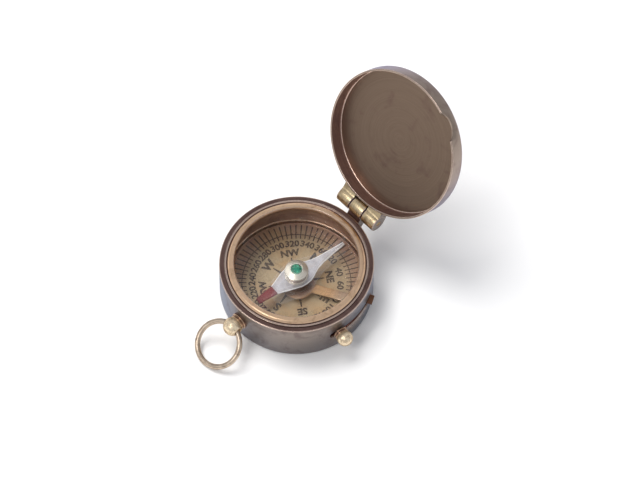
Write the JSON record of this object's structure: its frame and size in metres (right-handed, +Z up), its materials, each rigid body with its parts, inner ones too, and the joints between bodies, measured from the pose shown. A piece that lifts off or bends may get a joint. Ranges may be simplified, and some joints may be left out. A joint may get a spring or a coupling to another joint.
{
  "type": "lidded pocket compass",
  "caption": "Round turned case with a printed dial and a balanced needle under glass, a hinged lid, a loose carrying ring and a sliding needle lock.",
  "frame": {"origin": "centre of the case's flat base", "axes": "+Z up through the needle's pivot, +Y towards the lid's hinge, -Y towards the ring, +X towards the lock's slot"},
  "size_m": [0.0551, 0.1002, 0.0646],
  "materials": {
    "aged_brass": "dark patina, satin",
    "bright_brass": "turned, satin",
    "pale_brass": "polished",
    "copper": "brushed copper colour",
    "dial_print": "printed scale, satin",
    "steel": "brushed, south end painted red",
    "hard_steel": "polished",
    "window": "clear",
    "green_stone": "cut green stone"
  },
  "bodies": {
    "case": {"case_shell": "aged_brass", "dial_plate": "dial_print", "dial_ring": "bright_brass", "seat_ring": "bright_brass", "glass": "window", "bezel_ring": "bright_brass", "pivot_post": "bright_brass", "pivot_point": "hard_steel", "bow_collar": "bright_brass", "bow_stud": "bright_brass", "case_knuckle": "bright_brass", "hinge_pin": "bright_brass"},
    "lid": {"lid_shell": "aged_brass", "left_knuckle": "bright_brass", "right_knuckle": "bright_brass"},
    "ring": {"bow_ring": "bright_brass"},
    "lock": {"lock_band": "copper", "knob_collar": "aged_brass", "lock_knob": "bright_brass"},
    "lifter": {"lifter_lever": "copper"},
    "cup": {"bearing_cup": "bright_brass"},
    "needle": {"needle_blade": "steel", "hub_collar": "pale_brass", "needle_hub": "pale_brass", "hub_jewel": "green_stone"}
  },
  "joints": [
    {"name": "lid_swing", "type": "hinge", "parent": "case", "child": "lid", "pos_m": [0, 0.02855, 0.01768], "axis": [-1, 0, 0], "range_deg": [-120.7, 55]},
    {"name": "ring_swing", "type": "hinge", "parent": "case", "child": "ring", "pos_m": [0, -0.0282, 0.0088], "axis": [-1, 0, 0], "range_deg": [-60, 121]},
    {"name": "lock_slide", "type": "hinge", "parent": "case", "child": "lock", "pos_m": [0, 0, 0.008], "axis": [0, 0, 1], "range_deg": [-5, 25]},
    {"name": "lifter_tilt", "type": "hinge", "parent": "case", "child": "lifter", "pos_m": [0.02182, 0.01057, 0.008], "axis": [-0.4909, 0.8712, 0], "range_deg": [-1.05, 5.05]},
    {"name": "needle_lift", "type": "slide", "parent": "case", "child": "cup", "axis": [0, 0, 1], "range_m": [-0.0003, 0.0015]},
    {"name": "needle_spin", "type": "hinge", "parent": "cup", "child": "needle", "pos_m": [0, 0, 0.008], "axis": [0, 0, 1], "continuous": true}
  ],
  "couplings": [
    {"joint": "lifter_tilt", "follows": "lock_slide", "ratio": 0.2},
    {"joint": "needle_lift", "follows": "lock_slide", "m_per_rad": 0.0034}
  ]
}
